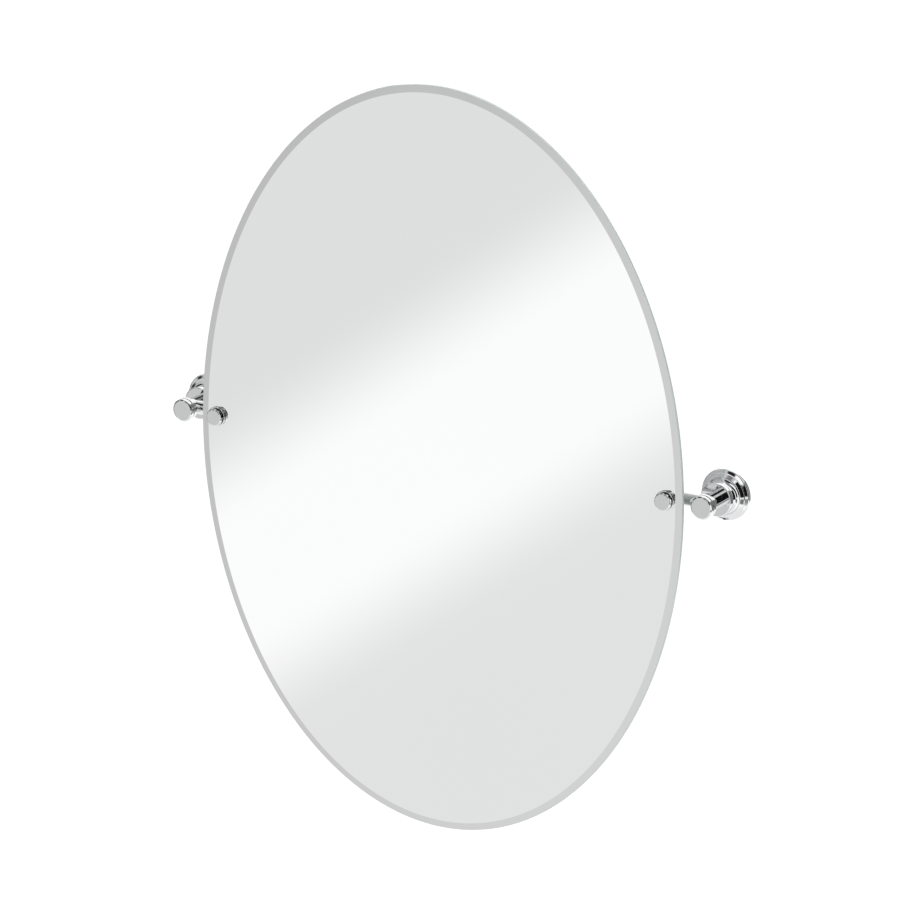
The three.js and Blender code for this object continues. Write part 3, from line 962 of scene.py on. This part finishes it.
# Sheen screen: parallel to the pane, where the camera looks by way of it. A diagonal light band lies
# across it, and it fades out round an oval. Only rays off a perfectly smooth mirror are singular, so
# only the pane shows it.
sheen_y = -1.0
sheen_middle = Vector((-0.583, sheen_y, -0.357))
sheen_half = Vector((0.56, 0, 0.74))
sheen_turn = math.radians(-36.5)
band_reach = 0.25
fade_from = 0.74                       # shares of the oval's half width and height
fade_to = 0.98
band_stops = ((0.0, 0.85), (0.12, 0.86), (0.38, 1.09), (0.62, 1.09), (0.90, 0.828), (1.0, 0.825))
sheen = bpy.data.materials.new("sheen_screen")
sheen.use_nodes = True
nodes, links = sheen.node_tree.nodes, sheen.node_tree.links
nodes.clear()


def placed(rotation, scale):
    """Object coordinates from the screen's middle, turned and scaled."""
    place = nodes.new("ShaderNodeTexCoord")
    turn = nodes.new("ShaderNodeMapping")
    turn.vector_type = "TEXTURE"
    turn.inputs["Location"].default_value = sheen_middle
    turn.inputs["Rotation"].default_value = rotation
    turn.inputs["Scale"].default_value = scale
    links.new(place.outputs["Object"], turn.inputs["Vector"])
    return turn.outputs["Vector"]


across = nodes.new("ShaderNodeSeparateXYZ")
links.new(placed((0, sheen_turn, 0), (1, 1, 1)), across.inputs["Vector"])
band_span = nodes.new("ShaderNodeMapRange")
band_span.inputs["From Min"].default_value = -band_reach
band_span.inputs["From Max"].default_value = band_reach
links.new(across.outputs["Z"], band_span.inputs["Value"])
band = nodes.new("ShaderNodeValToRGB")
band.color_ramp.interpolation = "EASE"
for number, (position, brightness) in enumerate(band_stops):
    if number < 2:                     # a new ramp has two stops of its own
        stop = band.color_ramp.elements[number]
        stop.position = position
    else:
        stop = band.color_ramp.elements.new(position)
    stop.color = (brightness, brightness, brightness, 1)
links.new(band_span.outputs["Result"], band.inputs["Fac"])
from_middle = nodes.new("ShaderNodeVectorMath")
from_middle.operation = "LENGTH"
links.new(placed((0, 0, 0), (sheen_half.x, 1, sheen_half.z)), from_middle.inputs[0])
faded = soft_step(from_middle.outputs["Value"], fade_from, fade_to)
from_pane = nodes.new("ShaderNodeLightPath").outputs["Is Singular Ray"]
light = nodes.new("ShaderNodeEmission")
links.new(band.outputs["Color"], light.inputs["Color"])
through = nodes.new("ShaderNodeBsdfTransparent")
output = nodes.new("ShaderNodeOutputMaterial")
seen_card = chosen(faded, light.outputs["Emission"], through.outputs["BSDF"])
links.new(chosen(from_pane, through.outputs["BSDF"], seen_card), output.inputs["Surface"])
screen = plain_card("sheen_screen", sheen_middle - sheen_half, sheen_middle + sheen_half, sheen)
screen.visible_camera = False
screen.visible_diffuse = False
screen.visible_shadow = False

# Lamps, aimed at the mirror's middle and hidden from its reflections
for name, spot, size, power in (
    ("key", (-1.6, -2.6, 2.4), 1.6, 70),
    ("fill", (2.4, -2.0, 1.0), 1.8, 35),
    ("back", (0.6, 2.6, 1.8), 1.8, 35),
):
    data = bpy.data.lights.new(name, "AREA")
    data.size = size
    data.energy = power
    lamp = bpy.data.objects.new(name, data)
    lamp.location = spot
    lamp.rotation_euler = (-Vector(spot)).to_track_quat("-Z", "Y").to_euler()
    lamp.visible_glossy = False
    scene.collection.objects.link(lamp)

# Camera at the photograph's viewing angle
azimuth = math.radians(31.48)
elevation = math.radians(17.79)
distance = 4.63
shift_right = 13.9 * mm
shift_up = 6.8 * mm
away = Vector((
    math.sin(azimuth) * math.cos(elevation),
    -math.cos(azimuth) * math.cos(elevation),
    math.sin(elevation),
))
right = Vector((math.cos(azimuth), math.sin(azimuth), 0))
up = away.cross(right)
target = Vector((0, glass_low.y, 0)) + right * shift_right + up * shift_up
camera_data = bpy.data.cameras.new("camera")
camera_data.sensor_width = 36
camera_data.lens = 195.58
camera_data.clip_end = 60
camera = bpy.data.objects.new("camera", camera_data)
facing = Matrix((right, up, away)).transposed().to_4x4()
camera.matrix_world = Matrix.Translation(target + away * distance) @ facing
scene.collection.objects.link(camera)
scene.camera = camera
scene.view_settings.view_transform = "Standard"
